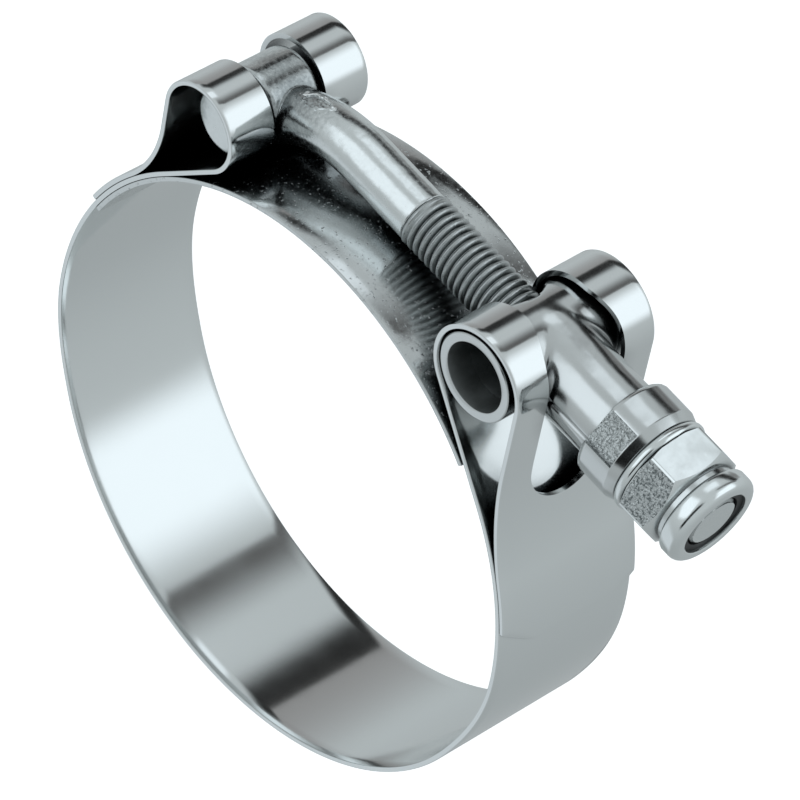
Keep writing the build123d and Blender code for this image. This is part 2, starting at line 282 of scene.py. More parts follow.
head_loop = on_circle(running_gap - head_loop_play, head_pull, (head.x, head.z))
cross_loop = on_circle(running_gap - cross_loop_play, cross_pull, (cross.x, cross.z))
head_leg_x = head_loop.x - head_loop_radius
cross_leg_x = cross_loop.x + cross_loop_radius
head_blend, head_join = leg_join(head_leg_x, head_leg_blend)
cross_blend, cross_join = leg_join(cross_leg_x, cross_leg_blend)
head_run = straight_run(head_loop, head_loop_radius)
cross_run = straight_run(cross_loop, cross_loop_radius)
runs = [
    bend(ring_centre, leg_radius, head_leg_angle, head_join),
    bend(head_blend, head_leg_blend, head_join - 180, 0),
    straight(Vector((head_leg_x, head_blend[1])), Vector((head_leg_x, head_loop[1]))),
    bend(head_loop, head_loop_radius, 180, head_run - 180),
    straight(
        on_circle(head_loop_radius, head_run + 180, head_loop),
        on_circle(band_radius, head_run),
    ),
    bend(ring_centre, band_radius, head_run, 180),
    bend(ring_centre, band_radius, 180, ease_left, bottom_radius),
    bend(ring_centre, bottom_radius, ease_left, ease_right),
    bend(ring_centre, bottom_radius, ease_right, 360, band_radius),
    bend(ring_centre, band_radius, 360, 360 + cross_run),
    straight(
        on_circle(band_radius, cross_run),
        on_circle(cross_loop_radius, cross_run + 180, cross_loop),
    ),
    bend(cross_loop, cross_loop_radius, cross_run + 180, 0),
    straight(Vector((cross_leg_x, cross_loop[1])), Vector((cross_leg_x, cross_blend[1]))),
    bend(cross_blend, cross_leg_blend, 180, 180 + cross_join),
    bend(ring_centre, leg_radius, cross_join, cross_leg_angle),
]


def folded(runs):
    """The rows of a strip from its runs, without the points that two runs share."""
    rows = list(runs[0])
    for run in runs[1:]:
        rows += run[1:]
    return rows


# the slots, by half their width, and the height from the loop's middle down to their ends
head_slot = 3.65 * mm
head_slot_depth = 4.3 * mm
head_slot_back_depth = 2.5 * mm
head_slot_corner = 2.2 * mm
bolt_slot = 4.0 * mm
bolt_slot_depth = 4.4 * mm
sleeve_slot = 5.3 * mm
sleeve_slot_depth = 15.7 * mm
clear_x = cross_leg_x - half_thickness - running_gap
beyond_slots = 1.1 * sleeve_slot


def head_opening(place):
    """Half width of the slot in the left loop at a point of the strip's middle."""
    reach = head_slot_back_depth if place.x < head_loop.x else head_slot_depth
    over = max(0.0, head_loop.y - place.y - reach + head_slot_corner)
    if over > head_slot_corner:
        return 0.0
    return head_slot - head_slot_corner + math.sqrt(head_slot_corner**2 - over**2)


def cross_opening(place):
    """Half width of the slot in the right loop, wider on the side of the sleeve."""
    depth = cross_loop.y - place.y
    if place.x < (clear_x if depth > 0 else cross_loop.x):
        over = max(0.0, depth - bolt_slot_depth + bolt_slot)
        return math.sqrt(max(0.0, bolt_slot**2 - over**2))
    share = min(1.0, (place.x - cross_loop.x) / (clear_x - cross_loop.x))
    over = max(0.0, depth - sleeve_slot_depth + sleeve_slot)
    if over > 0:
        return math.sqrt(max(0.0, sleeve_slot**2 - over**2))
    return bolt_slot + (sleeve_slot - bolt_slot) * share * share * (3 - 2 * share)


def slotted(rows, opening):
    """Each row with its half opening, and rows close together where a slot's end is round."""
    slots = [(place, opening(place)) for place in rows]
    finest = 0.012 * mm
    widest_step = 0.35 * mm
    split = True
    while split:
        split = False
        finer = slots[:1]
        for (a, width_a), (b, width_b) in zip(slots, slots[1:]):
            if abs(width_a - width_b) > widest_step and (a - b).length > finest:
                finer.append(((a + b) / 2, opening((a + b) / 2)))
                split = True
            finer.append((b, width_b))
        slots = finer
    return slots


left_end = slotted(folded(runs[:5]), head_opening)
ring = [(place, 0.0) for place in folded(runs[5:10])]
right_end = slotted(folded(runs[10:]), cross_opening)
rows, openings = zip(*(left_end + ring[1:-1] + right_end))

# the clipped corners of both tips, as (across, along) the strip
near_clip = (4.6 * mm, 2.9 * mm)
far_clip = (2.2 * mm, 1.5 * mm)
lengths = [0.0]
for a, b in zip(rows, rows[1:]):
    lengths.append(lengths[-1] + (b - a).length)


def clipped(from_tip):
    """Outer edges of the near and the far half at this distance from the strip's end."""
    return [
        strip_width / 2 - width * max(0.0, 1 - from_tip / length)
        for width, length in (near_clip, far_clip)
    ]


def rolled_strip(name, rows, openings, outer_edges):
    """A strip bent from a flat grid, row by row, with a slot where a row has an opening."""
    columns = 6
    lines = 2 * columns + 2
    middle_line = 0.4 / lines
    bpy.ops.object.select_all(action="DESELECT")
    bpy.ops.mesh.primitive_grid_add(
        x_subdivisions=len(rows) - 1, y_subdivisions=lines - 1, size=1, enter_editmode=False
    )
    strip = bpy.context.object
    strip.name = name
    bpy.ops.object.mode_set(mode="EDIT")
    bpy.ops.mesh.select_mode(type="FACE")
    bpy.ops.mesh.select_all(action="DESELECT")
    bpy.ops.object.mode_set(mode="OBJECT")
    # the middle line of faces goes, and its two sides become the edges of the slots
    for polygon in strip.data.polygons:
        polygon.select = abs(polygon.center.y) < middle_line
    bpy.ops.object.mode_set(mode="EDIT")
    bpy.ops.mesh.delete(type="FACE")
    bpy.ops.object.mode_set(mode="OBJECT")
    for vertex in strip.data.vertices:
        row = round((vertex.co.x + 0.5) * (len(rows) - 1))
        line = round((vertex.co.y + 0.5) * (lines - 1))
        far = line > columns
        share = (line - columns - 1 if far else columns - line) / columns
        y = openings[row] + (outer_edges[row][far] - openings[row]) * share
        vertex.co = (rows[row].x, y if far else -y, rows[row].y)
    bpy.ops.object.mode_set(mode="EDIT")
    bpy.ops.mesh.select_all(action="SELECT")
    bpy.ops.mesh.remove_doubles(threshold=0.0005 * mm)
    bpy.ops.object.mode_set(mode="OBJECT")
    return strip


def finish_strip(strip, tip_height):
    """Gives the sheet its thickness, and rounds its long edges and any tip below a height."""
    solid = strip.modifiers.new("thickness", "SOLIDIFY")
    solid.thickness = strip_thickness
    solid.offset = 0
    bpy.ops.object.modifier_apply(modifier=solid.name)
    weights = strip.data.attributes.new("bevel_weight_edge", "FLOAT", "EDGE")
    sides = {}
    for polygon in strip.data.polygons:
        for key in polygon.edge_keys:
            sides.setdefault(key, []).append(polygon.normal)
    # edges sharper than 60 degrees are rounded, but those of the slots stay sheared
    for edge in strip.data.edges:
        a, b = (strip.data.vertices[index].co for index in edge.vertices)
        normals = sides[tuple(sorted(edge.vertices))]
        corner = len(normals) == 2 and normals[0].dot(normals[1]) < 0.5
        outside = min(abs(a.y), abs(b.y)) > beyond_slots or max(a.z, b.z) < tip_height
        weights.data[edge.index].value = float(corner and outside)
    soft = strip.modifiers.new("rolled_edge", "BEVEL")
    soft.limit_method = "WEIGHT"
    soft.width = sheared_rounding
    soft.segments = 2
    bpy.ops.object.modifier_apply(modifier=soft.name)
    bpy.ops.object.shade_smooth_by_angle(angle=math.radians(35))


outer_edges = [clipped(min(length, lengths[-1] - length)) for length in lengths]
band = rolled_strip("band_strip", rows, openings, outer_edges)
finish_strip(band, tip_height=18 * mm)


def steel(
    name,
    colour,
    grain_size,
    roughness,
    relief,
    depth,
    painted_shade_reach,
    painted_shade_colour="34383a",
    waves=None,
    pits=None,
    scale=None,
):
    """Bare metal: grains set its gloss and relief, and painted shade darkens its folds.

    Real grains are too fine to show, so these are drawn coarser. relief and depth: strength and
    height of the grains. waves: size and depth of its long unevenness. pits: size, threshold,
    colour and roughness of its specks. scale: colour, centre, start and end of the dull scale
    about a forged root.
    """
    material, tree, out = new_material(name)
    place = add(tree, "ShaderNodeTexCoord").outputs["Object"]
    grains = add(
        tree, "ShaderNodeTexNoise", {"Vector": place, "Scale": 1 / grain_size, "Detail": 4.0}
    )
    gloss = add(
        tree,
        "ShaderNodeMapRange",
        {
            "Value": grains.outputs["Fac"],
            "From Min": 0.3,
            "From Max": 0.7,
            "To Min": roughness[0],
            "To Max": roughness[1],
        },
    ).outputs[0]
    normal = add(
        tree,
        "ShaderNodeBump",
        {"Height": grains.outputs["Fac"], "Strength": relief, "Distance": depth},
    ).outputs[0]
    if waves:
        swell = add(
            tree, "ShaderNodeTexNoise", {"Vector": place, "Scale": 1 / waves[0], "Detail": 1.0}
        )
        normal = add(
            tree,
            "ShaderNodeBump",
            {"Height": swell.outputs["Fac"], "Distance": waves[1], "Normal": normal},
        ).outputs[0]
    shade = rgb(colour)
    if scale:
        # its edge wanders with the grains by half of this either way, and it reaches
        # less far across the strip than along the bolt
        wander = 6 * mm
        narrowed = 1.6
        dull, centre, near, far = scale
        from_root = add(
            tree,
            "ShaderNodeMapping",
            {"Vector": place, "Location": (-centre.x, 0, -centre.z), "Scale": (1, narrowed, 1)},
        )
        distance = add(tree, "ShaderNodeVectorMath", {0: from_root.outputs[0]}, operation="LENGTH")
        ragged = add(
            tree,
            "ShaderNodeMath",
            {0: grains.outputs["Fac"], 1: wander, 2: distance.outputs["Value"]},
            operation="MULTIPLY_ADD",
        )
        share = add(
            tree,
            "ShaderNodeMapRange",
            {
                "Value": ragged.outputs[0],
                "From Min": near + wander / 2,
                "From Max": far + wander / 2,
            },
            interpolation_type="SMOOTHSTEP",
        )
        shade = add(
            tree,
            "ShaderNodeMix",
            {0: share.outputs[0], 6: rgb(dull), 7: shade},
            data_type="RGBA",
        ).outputs[2]
    if pits:
        soft_rim = 0.06
        depth_share = 0.1
        pit_size, threshold, pit_colour, pit_roughness = pits
        specks = add(
            tree, "ShaderNodeTexNoise", {"Vector": place, "Scale": 1 / pit_size, "Detail": 2.0}
        )
        pitted = add(
            tree,
            "ShaderNodeMapRange",
            {
                "Value": specks.outputs["Fac"],
                "From Min": threshold - soft_rim,
                "From Max": threshold + soft_rim,
            },
        ).outputs[0]
        if scale:
            pitted = add(
                tree,
                "ShaderNodeMath",
                {0: pitted, 1: share.outputs[0]},
                operation="SUBTRACT",
                use_clamp=True,
            ).outputs[0]
        shade = add(
            tree, "ShaderNodeMix", {0: pitted, 6: shade, 7: rgb(pit_colour)}, data_type="RGBA"
        ).outputs[2]
        gloss = add(
            tree, "ShaderNodeMix", {0: pitted, 2: gloss, 3: pit_roughness}, data_type="FLOAT"
        ).outputs[0]
        normal = add(
            tree,
            "ShaderNodeBump",
            {"Height": pitted, "Distance": depth_share * pit_size, "Normal": normal},
            invert=True,
        ).outputs[0]
    # painted shade: a place that sees less than 0.22 of the room is painted fully in the shade colour, and from
    # 0.8 it keeps its own colour
    shade_occlusion = add(tree, "ShaderNodeAmbientOcclusion", {"Distance": painted_shade_reach}, samples=8)
    unshaded_share = add(
        tree,
        "ShaderNodeMapRange",
        {"Value": shade_occlusion.outputs["AO"], "From Min": 0.22, "From Max": 0.8},
    )
    painted_shade_mix = add(
        tree,
        "ShaderNodeMix",
        {0: unshaded_share.outputs[0], 6: rgb(painted_shade_colour), 7: shade},
        data_type="RGBA",
    )
    metal = add(
        tree,
        "ShaderNodeBsdfPrincipled",
        {"Base Color": painted_shade_mix.outputs[2], "Metallic": 1.0, "Roughness": gloss, "Normal": normal},
    )
    tree.links.new(metal.outputs[0], out.inputs["Surface"])
    return material


# Polished stainless strip: rolled bright, so it mirrors the studio with a slight blur. The
# rolling left waves about 6 mm long that bend the reflections, and painted shade darkens the folds.
strip_metal = steel(
    "polished_stainless_strip",
    "e3e6e6",
    grain_size=6 * mm,
    roughness=(0.1, 0.15),
    relief=0.25,
    depth=0.02 * mm,
    painted_shade_reach=5 * mm,
)
band.data.materials.append(strip_metal)
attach(band, "band")
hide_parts("main_band")

# Tongue: a second strip of the same sheet inside the band, under the gap between the loops,
# where it closes the circle on the hose. Its left end is spot-welded to the band, and its
# right end slides on the band as the clamp is tightened.
tongue_rows = bend(ring_centre, seat_radius + half_thickness, 155.5, 44.0)
tongue = rolled_strip(
    "tongue_strip",
    tongue_rows,
    [0.0] * len(tongue_rows),
    [[strip_width / 2] * 2] * len(tongue_rows),
)
finish_strip(tongue, tip_height=0.0)
# Pitted stainless strip: less bright than the band, with light specks of 0.4 mm and 3 mm
# waves, so that the dark reflections under the bolt look stirred.
tongue_metal = steel(
    "pitted_stainless_tongue",
    "d5d8d8",
    grain_size=0.6 * mm,
    roughness=(0.1, 0.2),
    relief=0.3,
    depth=0.02 * mm,
    # painted shade darkens it wherever other surfaces close in within this reach
    painted_shade_reach=6 * mm,
    painted_shade_colour="4a5053",
    waves=(3 * mm, 0.03 * mm),
    pits=(0.4 * mm, 0.7, "aeb3b4", 0.5),
)
tongue.data.materials.append(tongue_metal)
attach(tongue, "band")
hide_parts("tongue")

# T-bolt: a cross head that lies in the left loop, drop-forged in one with a bent shank, and a
# rolled 1/4-28 thread, all in zinc-plated steel. It is drawn along its own line: distances
# are from the trunnion's middle, and the head's end is negative.
bolt_dir = Vector(joints["nut_travel"]["axis"]).normalized()
up = Vector((-bolt_dir.z, 0, bolt_dir.x))
on_bolt = Matrix.Translation(cross) @ Matrix(
    (up, Vector((0, -1, 0)), bolt_dir)
).transposed().to_4x4()
across = (math.pi / 2, 0, 0)
bar_length = 13.2 * mm
hub_radius = 4.4 * mm
hub_width = 6.6 * mm
hub_middle = head + Vector((-0.1 * mm, 0, 0.6 * mm))
shank_radius = 3.05 * mm
shank_foot = head + Vector((0.85 * mm, 0, -1.6 * mm))
straight_start = -27.5 * mm
thread_start = -18.4 * mm
bolt_end = 26.55 * mm


def rod(radius, length, turn=(0, 0, 0), place=(0, 0, 0), vertices=96):
    """A plain rod about a place, upright unless it is turned."""
    bpy.ops.object.select_all(action="DESELECT")
    bpy.ops.mesh.primitive_cylinder_add(
        vertices=vertices, radius=radius, depth=length, location=place, rotation=turn
    )
    bpy.ops.object.transform_apply(location=True, rotation=True, scale=True)
    return bpy.context.object


def break_edges(piece, width, segments):
    """Rounds every edge of a piece that is sharper than 50 degrees."""
    broken = piece.modifiers.new("broken_edges", "BEVEL")
    broken.width = width
    broken.segments = segments
    broken.limit_method = "ANGLE"
    broken.angle_limit = math.radians(50)
    bpy.context.view_layer.objects.active = piece
    bpy.ops.object.modifier_apply(modifier=broken.name)


def forge(piece, voxel, smoothing):
    """Grows a piece's volumes together and rounds their corners, as a forging has them."""
    grown = piece.modifiers.new("grown_together", "REMESH")
    grown.mode = "VOXEL"
    grown.voxel_size = voxel
    bpy.ops.object.modifier_apply(modifier=grown.name)
    worn = piece.modifiers.new("forged_corners", "SMOOTH")
    worn.factor = 0.5
    worn.iterations = smoothing
    bpy.ops.object.modifier_apply(modifier=worn.name)
    bpy.ops.object.shade_smooth()


def turned(name, outline, steps):
    """A piece turned about the bolt's line from an outline of (radius, distance) points.

    With no steps it is left as the bare outline.
    """
    bpy.ops.object.select_all(action="DESELECT")
    bpy.ops.mesh.primitive_plane_add(size=mm)
    piece = bpy.context.object
    piece.name = name
    bpy.ops.object.mode_set(mode="EDIT")
    bpy.ops.mesh.select_mode(type="VERT")
    bpy.ops.mesh.select_all(action="SELECT")
    bpy.ops.mesh.merge(type="CENTER")
    bpy.ops.mesh.select_all(action="SELECT")
    bpy.ops.transform.translate(value=(outline[0][0], 0, outline[0][1]))
    for (r1, s1), (r2, s2) in zip(outline, outline[1:]):
        bpy.ops.mesh.extrude_region_move(TRANSFORM_OT_translate={"value": (r2 - r1, 0, s2 - s1)})
    bpy.ops.mesh.select_all(action="SELECT")
    if steps:
        bpy.ops.mesh.spin(steps=steps, angle=2 * math.pi, center=(0, 0, 0), axis=(0, 0, 1))
        bpy.ops.mesh.select_all(action="SELECT")
        bpy.ops.mesh.remove_doubles(threshold=0.002 * mm)
        bpy.ops.mesh.normals_make_consistent(inside=False)
    bpy.ops.object.mode_set(mode="OBJECT")
    return piece


def set_in_place(piece, matrix):
    """Moves a finished mesh to its place, with its object left at the origin."""
    piece.data.transform(matrix)
    piece.location = (0, 0, 0)
    piece.rotation_euler = (0, 0, 0)
    piece.scale = (1, 1, 1)


def joined(*pieces):
    """Makes one object of several, under the first one's name."""
    bpy.ops.object.select_all(action="DESELECT")
    for piece in pieces:
        piece.select_set(True)
    bpy.context.view_layer.objects.active = pieces[0]
    bpy.ops.object.join()
    return pieces[0]


# the forged blank: cross bar, hub and bent shank, grown together and smoothed
bolt_head = rod(head_bar_radius, bar_length, across, head)
bolt_head.name = "t_bolt_forged"
break_edges(bolt_head, width=0.45 * mm, segments=4)
hub = rod(hub_radius, hub_width, across, hub_middle)
break_edges(hub, width=0.7 * mm, segments=5)
bend_start = cross + bolt_dir * straight_start
to_foot = shank_foot - bend_start
bend_radius = to_foot.length_squared / (-2 * to_foot.dot(up))
bend_centre = bend_start - up * bend_radius
bend_turn = 2 * math.asin(to_foot.length / (2 * bend_radius))
bpy.ops.object.select_all(action="DESELECT")
bpy.ops.mesh.primitive_circle_add(vertices=64, radius=shank_radius, fill_type="NGON")
shank = bpy.context.object
set_in_place(shank, Matrix.Translation(bolt_dir * thread_start) @ on_bolt)
bpy.ops.object.mode_set(mode="EDIT")
bpy.ops.mesh.select_all(action="SELECT")
bpy.ops.mesh.extrude_region_move(
    TRANSFORM_OT_translate={"value": bolt_dir * (straight_start - thread_start)}
)
bpy.ops.mesh.spin(steps=24, angle=bend_turn, center=bend_centre, axis=(0, 1, 0))
bpy.ops.mesh.select_all(action="SELECT")
bpy.ops.mesh.remove_doubles(threshold=0.002 * mm)
bpy.ops.mesh.normals_make_consistent(inside=False)
bpy.ops.object.mode_set(mode="OBJECT")
bolt_head = joined(bolt_head, hub, shank)
forge(bolt_head, voxel=0.15 * mm, smoothing=6)

# the ragged dent on top of the root, and the lip that it threw up, with a painted highlight on its far side
dent = Vector((-11.2 * mm, -0.45 * mm, 41.5 * mm))
dent_inwards = Vector((0.3, 0.15, -0.94))
dent_length = 1.9 * mm
dent_width = 0.8 * mm
dent_depth = 0.13 * mm
dent_wall = 0.2
ragged_edge = 0.45
ragged_size = 0.6 * mm
lumpy_floor = 0.4
lumpy_size = 0.3 * mm
lip_height = 0.1 * mm
lip_reach = 1.12
lip_spread = 0.18
lip_seen = 0.15 * lip_height
lip_side = -0.1 * mm
dent_area = 1.5 * dent_length
faces_dent = -0.6
bpy.ops.object.mode_set(mode="EDIT")
bpy.ops.mesh.select_mode(type="FACE")
bpy.ops.mesh.select_all(action="DESELECT")
bpy.ops.object.mode_set(mode="OBJECT")
for polygon in bolt_head.data.polygons:
    near_dent = (polygon.center - dent).length < dent_area
    polygon.select = near_dent and polygon.normal.dot(dent_inwards) < faces_dent
bpy.ops.object.mode_set(mode="EDIT")
bpy.ops.mesh.subdivide(number_cuts=2)
bpy.ops.object.mode_set(mode="OBJECT")
dented = [
    vertex
    for vertex in bolt_head.data.vertices
    if (vertex.co - dent).length < dent_area
    and vertex.normal.dot(dent_inwards) < faces_dent
]
lip_highlight_side = set()
for vertex in dented:
    offset = vertex.co - dent
    reach = math.hypot(offset.x / dent_length, offset.y / dent_width)
    reach += ragged_edge * noise.noise(vertex.co / ragged_size)
    sunk = dent_depth * min(1.0, max(0.0, (1.0 - reach) / dent_wall))
    sunk *= 1 + lumpy_floor * noise.noise(vertex.co / lumpy_size)
    lip = lip_height * max(0.0, 1 - abs(reach - lip_reach) / lip_spread)
    vertex.co += dent_inwards * (sunk - lip)
    if lip > lip_seen and offset.y > lip_side:
        lip_highlight_side.add(vertex.index)
# the lip's far side takes the second material, a painted highlight
for polygon in bolt_head.data.polygons:
    if lip_highlight_side.issuperset(polygon.vertices):
        polygon.material_index = 1

# the thread: one pitch of its outline, run along the bolt as a screw
pitch = 25.4 * mm / 28
crest_radius = 3.175 * mm
root_radius = 2.66 * mm
root_rounding = 0.16 * mm
flank_top = 0.14 * mm
crest_rounding = 0.04 * mm
start_groove = 0.22 * mm
plain_ring = 0.4 * mm
runout = 0.7 * mm
end_chamfer = 0.45 * mm
thread_outline = [
    (root_radius, 0.0),
    (root_radius, 0.07 * pitch),
    (root_radius + root_rounding, 0.17 * pitch),
    (crest_radius - flank_top, 0.3 * pitch),
    (crest_radius - crest_rounding, 0.4 * pitch),
    (crest_radius, 0.52 * pitch),
    (crest_radius, 0.56 * pitch),
    (crest_radius - crest_rounding, 0.68 * pitch),
    (crest_radius - flank_top, 0.78 * pitch),
    (root_radius + root_rounding, 0.91 * pitch),
    (root_radius, pitch),
]
thread = turned("thread", thread_outline, steps=0)
winding = thread.modifiers.new("winding", "SCREW")
winding.axis = "Z"
winding.angle = 2 * math.pi
winding.screw_offset = pitch
winding.iterations = math.ceil((bolt_end - thread_start) / pitch) + 2
winding.steps = 48
winding.render_steps = 48
winding.use_merge_vertices = True
winding.merge_threshold = 0.001 * mm
bpy.context.view_layer.objects.active = thread
bpy.ops.object.modifier_apply(modifier=winding.name)
# it starts with a shallow groove, a plain ring and a run-out, and ends in a chamfer
for vertex in thread.data.vertices:
    vertex.co.z += thread_start - 1.5 * pitch
    radius = math.hypot(vertex.co.x, vertex.co.y)
    from_start = vertex.co.z - thread_start
    share = min(1.0, max(0.0, (from_start - plain_ring) / runout))
    wanted = crest_radius + (radius - crest_radius) * share
    wanted -= max(0.0, start_groove - max(0.0, from_start))
    wanted = min(wanted, crest_radius - end_chamfer + max(0.0, bolt_end - vertex.co.z))
    vertex.co.x *= wanted / radius
    vertex.co.y *= wanted / radius
bpy.ops.object.mode_set(mode="EDIT")
bpy.ops.mesh.select_mode(type="VERT")
bpy.ops.mesh.select_all(action="SELECT")
bpy.ops.mesh.remove_doubles(threshold=0.004 * mm)
for distance, direction in ((thread_start, -1), (bolt_end, 1)):
    bpy.ops.mesh.select_all(action="SELECT")
    bpy.ops.mesh.bisect(
        plane_co=(0, 0, distance),
        plane_no=(0, 0, direction),
        use_fill=True,
        clear_outer=True,
        threshold=0.0001 * mm,
    )
bpy.ops.mesh.select_all(action="SELECT")
bpy.ops.mesh.normals_make_consistent(inside=False)
bpy.ops.object.mode_set(mode="OBJECT")
bpy.ops.object.shade_smooth_by_angle(angle=math.radians(40))
set_in_place(thread, on_bolt)

# Zinc-plated forging: satin and uneven in waves of 2.2 mm. Grey scale clings to the hub and
# the root with a few dark pits, and fades out along the shank.
plated = steel(
    "zinc_plated_shank",
    "dfe3e3",
    grain_size=0.4 * mm,
    roughness=(0.14, 0.28),
    relief=0.22,
    depth=0.04 * mm,
    # painted shade darkens its corners within this reach
    painted_shade_reach=2 * mm,
    painted_shade_colour="4a4f51",
    waves=(2.2 * mm, 0.07 * mm),
    pits=(0.5 * mm, 0.7, "7e8486", 0.4),
    scale=("8b9091", head + Vector((4 * mm, 0, 0)), 3 * mm, 10 * mm),
)
# Rolled thread: the same zinc, dulled and grained by the rolling dies, with painted shade in its roots.
rolled = steel(
    "zinc_rolled_thread",
    "b9bdbd",
    grain_size=0.25 * mm,
    roughness=(0.25, 0.4),
    relief=0.6,
    depth=0.06 * mm,
    painted_shade_reach=1.2 * mm,
)
# Painted highlight: the raised lip of the dent, on its far side, in a brighter zinc, with light painted shade.
lip_highlight_zinc = steel(
    "painted_highlight_zinc_lip",
    "f4f7f7",
    grain_size=0.4 * mm,
    roughness=(0.3, 0.4),
    relief=0.2,
    depth=0.02 * mm,
    painted_shade_reach=1 * mm,
    painted_shade_colour="c0c5c5",
)
bolt_head.data.materials.append(plated)
bolt_head.data.materials.append(lip_highlight_zinc)
thread.data.materials.append(rolled)
thread.data.materials.append(plated)
# the cut end of the bolt is smooth, unlike the thread
for polygon in thread.data.polygons:
    if polygon.normal.dot(bolt_dir) > 0.6 and len(polygon.vertices) > 4:
        polygon.material_index = 1
bolt = joined(bolt_head, thread)
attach(bolt, "bolt")
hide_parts("t_bolt")

# Trunnion: a cross tube and a sleeve forged in one, stainless, with a turned collar for the
# nut. It turns in the right loop, and the bolt passes through it with play. The flat milled
# in the collar keeps the rough marks of the cutter.
sleeve_bore = 3.6 * mm
sleeve_drill_length = 40 * mm
mouth_bore = 4.12 * mm
mouth_length = 12 * mm
tube_bore = 3.9 * mm
tube_drill_length = 14 * mm
tube_middle_length = 13.2 * mm
# what the smoothing takes off the tube's radius, and off the radius of the sleeve's bores
smoothed_off = 0.03 * mm
smoothed_in = 0.06 * mm
collar_start = 12.4 * mm


def cut(piece, tool, kind):
    """Joins a tool's volume to a piece, or cuts or trims the piece by it."""
    carve = piece.modifiers.new("carve", "BOOLEAN")
    carve.operation = kind
    carve.object = tool
    carve.solver = "EXACT"
    bpy.context.view_layer.objects.active = piece
    bpy.ops.object.modifier_apply(modifier=carve.name)
    bpy.data.objects.remove(tool)
    piece.select_set(True)


def rings(*points):
    """An outline of (radius, distance) pairs given in millimetres."""
    return [(radius * mm, distance * mm) for radius, distance in points]


trunnion = turned(
    "trunnion_forged",
    rings(
        (0, -0.8),
        (4.7, -0.8),
        (5.1, -0.4),
        (5.25, 0.4),
        (5.25, 1.6),
        (5.1, 3.5),
        (4.92, 5.5),
        (4.82, 7.5),
        (4.79, 9),
        (4.79, 14.6),
        (0, 14.6),
    ),
    steps=96,
)
cut(trunnion, rod(tube_radius + smoothed_off, tube_middle_length, across), "UNION")
cut(trunnion, rod(tube_bore, tube_drill_length, across), "DIFFERENCE")
cut(trunnion, rod(sleeve_bore + smoothed_in, sleeve_drill_length), "DIFFERENCE")
mouth = rod(mouth_bore + smoothed_in, mouth_length, place=(0, 0, -mouth_length / 2))
cut(trunnion, mouth, "DIFFERENCE")
forge(trunnion, voxel=0.18 * mm, smoothing=50)

# the seam under the sleeve, where its wrapped edges meet
seam_turn = math.radians(85)
seam_half_width = 0.25 * mm
seam_depth = 0.3 * mm
seam_start = 4.5 * mm
seam_fade = 1 * mm
outside_radius = 4.4 * mm
for vertex in trunnion.data.vertices:
    radius = math.hypot(vertex.co.x, vertex.co.y)
    aside = radius * (math.atan2(vertex.co.y, vertex.co.x) - seam_turn)
    if radius > outside_radius and vertex.co.z > seam_start:
        fade = min(1.0, (vertex.co.z - seam_start) / seam_fade)
        sunk = fade * seam_depth * math.exp(-((aside / seam_half_width) ** 2))
        vertex.co.x *= 1 - sunk / radius
        vertex.co.y *= 1 - sunk / radius

# the faced ends of the cross tube, with their edges broken inside and out
tube_ends = []
for side in (1, -1):
    end = turned(
        "tube_end",
        rings(
            (3.9, 6.1),
            (5.05, 6.1),
            (5.05, 9.0),
            (5.0, 9.13),
            (4.88, 9.2),
            (4.08, 9.2),
            (3.95, 9.13),
            (3.9, 9.0),
            (3.9, 6.1),
        ),
        steps=96,
    )
    bpy.ops.object.shade_smooth_by_angle(angle=math.radians(30))
    set_in_place(end, Matrix.Rotation(side * math.pi / 2, 4, "X"))
    tube_ends.append(end)

# the collar, rounded where it starts and tapered where it ends
collar = turned(
    "collar",
    rings(
        (3.6, 12.4),
        (5.5, 12.4),
        (5.7, 12.48),
        (5.9, 12.7),
        (6.0, 13.0),
        (6.0, 13.08),
        (6.0, 16.5),
        (6.0, 16.6),
        (5.97, 16.7),
        (5.59, 17.68),
        (5.5, 17.75),
        (3.6, 17.75),
        (3.6, 12.4),
    ),
    steps=128,
)
flat_height = 4.85 * mm
flat_width = 4.4 * mm
flat_end = 16.55 * mm
flat_facing = math.radians(54)
cutter_reach = 4 * mm
cutter_overrun = 0.25 * mm
cutter_length = flat_end - collar_start + cutter_overrun
bpy.ops.mesh.primitive_cube_add(
    size=1,
    location=(
        (flat_height + cutter_reach / 2) * math.cos(flat_facing),
        (flat_height + cutter_reach / 2) * math.sin(flat_facing),
        flat_end - cutter_length / 2,
    ),
    rotation=(0, 0, flat_facing),
    scale=(cutter_reach, flat_width, cutter_length),
)
bpy.ops.object.transform_apply(location=True, rotation=True, scale=True)
cut(collar, bpy.context.object, "DIFFERENCE")
break_edges(collar, width=0.08 * mm, segments=2)
bpy.ops.object.shade_smooth_by_angle(angle=math.radians(30))

# Turned stainless: bright with a soft blur. Waves of 2.5 mm from the forging break up its
# streaks a little, and painted shade darkens its corners.
turned_metal = steel(
    "turned_stainless",
    "d4d7d7",
    grain_size=2 * mm,
    roughness=(0.12, 0.2),
    relief=0.3,
    depth=0.04 * mm,
    painted_shade_reach=7 * mm,
    painted_shade_colour="4c5051",
    waves=(2.5 * mm, 0.04 * mm),
)
# Cutter marks: a grey, torn flat with specks of 0.22 mm, which scatters the light. Real marks
# are finer, and are drawn as coarse as they need to show.
milled_metal = steel(
    "cutter_marked_stainless",
    "c8cccc",
    grain_size=0.5 * mm,
    roughness=(0.2, 0.35),
    relief=1.0,
    depth=0.3 * mm,
    # painted shade darkens its corners within this reach
    painted_shade_reach=1 * mm,
    pits=(0.22 * mm, 0.58, "9a9f9f", 0.45),
)
# Drilled bore: dull, and its grey colour is painted shade that keeps the inside of the tube dark and soft.
drilled_bore_painted_shade = steel(
    "drilled_stainless_bore_painted_shade",
    "9ea2a2",
    grain_size=0.5 * mm,
    roughness=(0.42, 0.5),
    relief=0.2,
    depth=0.02 * mm,
    painted_shade_reach=7 * mm,
)
for piece in (trunnion, collar, *tube_ends):
    piece.data.materials.append(turned_metal)
    piece.data.materials.append(milled_metal)
    piece.data.materials.append(drilled_bore_painted_shade)
